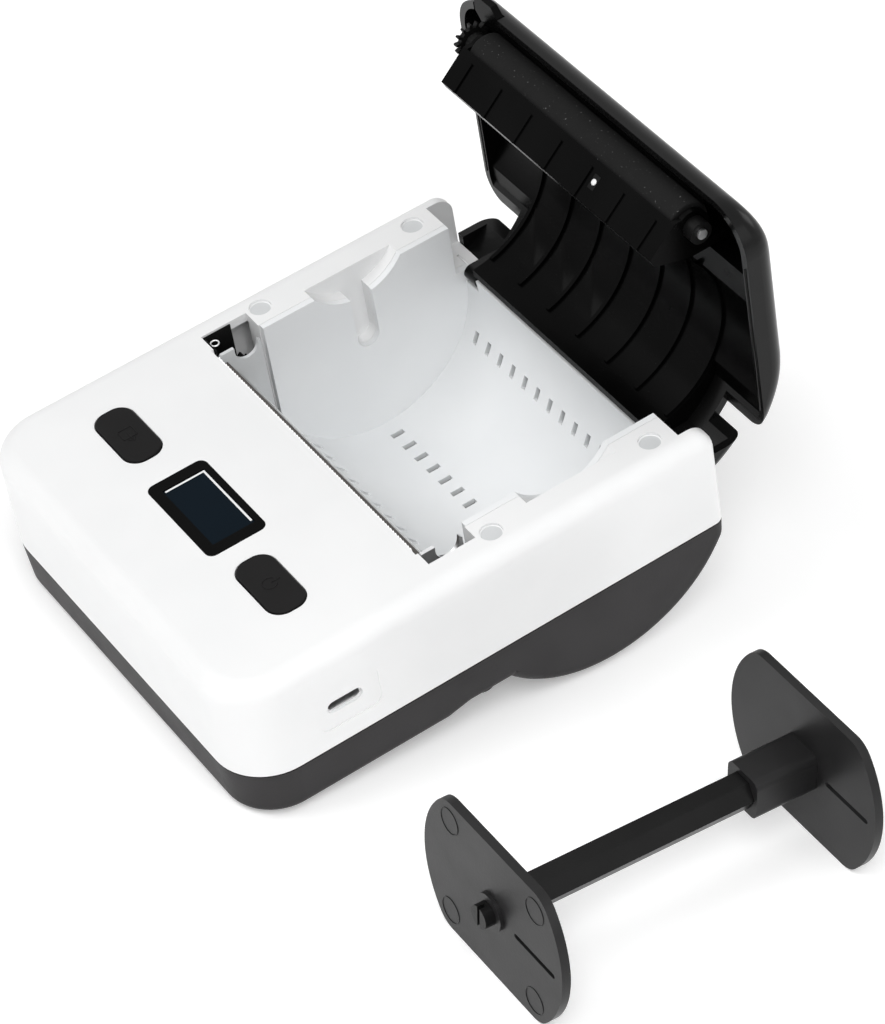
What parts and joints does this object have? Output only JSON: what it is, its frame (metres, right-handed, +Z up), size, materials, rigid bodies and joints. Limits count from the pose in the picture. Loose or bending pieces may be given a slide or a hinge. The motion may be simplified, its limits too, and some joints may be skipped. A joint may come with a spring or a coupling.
{
  "type": "portable thermal printer",
  "caption": "Hand-size receipt printer with a hinged roll cover open, a platen roller in the cover, a small screen and buttons, and a loose flanged roll holder.",
  "frame": {"origin": "middle of the footprint of the printer and its roll holder, on the table", "axes": "+X to the right along the printer's width, +Y from the front with the screen to the rear with the hinge, +Z up from the table"},
  "size_m": [0.2001, 0.1458, 0.1154],
  "materials": {
    "white_case": "satin",
    "bay_white": "satin gloss",
    "charcoal_case": "fine matt",
    "black_cover": "satin gloss",
    "black_inner": "matt",
    "rubber_feet": "matt",
    "button_black": "fine matt",
    "window": "clear, tinted",
    "display": "satin",
    "circuit_board": "solder mask",
    "chip_black": "matt",
    "bright_steel": "bright",
    "heat_aluminium": "milled",
    "head_ceramic": "glazed",
    "battery_wrap": "shrink wrap",
    "motor_can": "satin",
    "gear_plastic": "satin",
    "bush_plastic": "satin",
    "roller_rubber": "ground, matt",
    "holder_plastic": "fine matt"
  },
  "bodies": {
    "printer": {"top_shell": "white_case", "base_shell": "charcoal_case", "feet": "rubber_feet", "paper_bay": "bay_white", "screen_bezel": "button_black", "screen_window": "window", "display_module": "display", "key_board": "circuit_board", "key_switches": "chip_black", "main_board": "circuit_board", "board_chips": "chip_black", "usb_socket": "bright_steel", "battery_pack": "battery_wrap", "tear_bar": "bright_steel", "head_pivot": "bright_steel", "head_frame": "black_inner", "head_springs": "bright_steel", "side_plate_left": "black_inner", "side_plate_right": "bright_steel", "motor": "motor_can", "hinge_pins": "bright_steel", "case_screws": "bright_steel"},
    "head": {"print_head": "head_ceramic", "head_plate": "heat_aluminium"},
    "idler": {"idler_gear": "gear_plastic"},
    "pinion": {"motor_pinion": "gear_plastic"},
    "feed_button": {"feed_button": "button_black"},
    "power_button": {"power_button": "button_black"},
    "lid": {"lid_shell": "black_cover", "lid_liner": "black_inner", "front_strip": "black_cover", "platen_holder": "black_cover", "paper_sensor": "chip_black", "platen_bushes": "bush_plastic"},
    "platen": {"platen_axle": "bright_steel", "platen_roller": "roller_rubber", "platen_gear": "gear_plastic"},
    "roll_holder": {"holder_rod": "holder_plastic", "fixed_flange": "holder_plastic"},
    "slider": {"sliding_flange": "holder_plastic"}
  },
  "joints": [
    {"name": "lid_hinge", "type": "hinge", "parent": "printer", "child": "lid", "pos_m": [-0.04405, 0.05281, 0.04238], "axis": [1, 0, 0], "range_deg": [0, 90]},
    {"name": "platen_spin", "type": "hinge", "parent": "lid", "child": "platen", "pos_m": [-0.04405, 0.05657, 0.10434], "axis": [1, 0, 0], "continuous": true},
    {"name": "idler_spin", "type": "hinge", "parent": "printer", "child": "idler", "pos_m": [-0.09035, -0.01286, 0.03389], "axis": [1, 0, 0], "continuous": true},
    {"name": "pinion_spin", "type": "hinge", "parent": "printer", "child": "pinion", "pos_m": [-0.09035, -0.02132, 0.02595], "axis": [1, 0, 0], "continuous": true},
    {"name": "head_pivot", "type": "hinge", "parent": "printer", "child": "head", "pos_m": [-0.04405, -0.01059, 0.03373], "axis": [1, 0, 0], "range_deg": [0, 1], "stiffness_Nm_per_rad": 3, "springref_deg": -2.86},
    {"name": "feed_press", "type": "slide", "parent": "printer", "child": "feed_button", "axis": [0, 0.142, -0.9899], "range_m": [0, 0.0005], "stiffness_N_per_m": 1500, "springref_m": -0.0004},
    {"name": "power_press", "type": "slide", "parent": "printer", "child": "power_button", "axis": [0, 0.142, -0.9899], "range_m": [0, 0.0005], "stiffness_N_per_m": 1500, "springref_m": -0.0004},
    {"name": "roll_holder_lift", "type": "slide", "parent": "printer", "child": "roll_holder", "axis": [0, 0, 1], "range_m": [0, 0.06]},
    {"name": "flange_slide", "type": "slide", "parent": "roll_holder", "child": "slider", "axis": [0, -1, 0], "range_m": [0, 0.0468]}
  ],
  "couplings": [
    {"joint": "pinion_spin", "follows": "idler_spin", "ratio": -2.8}
  ]
}
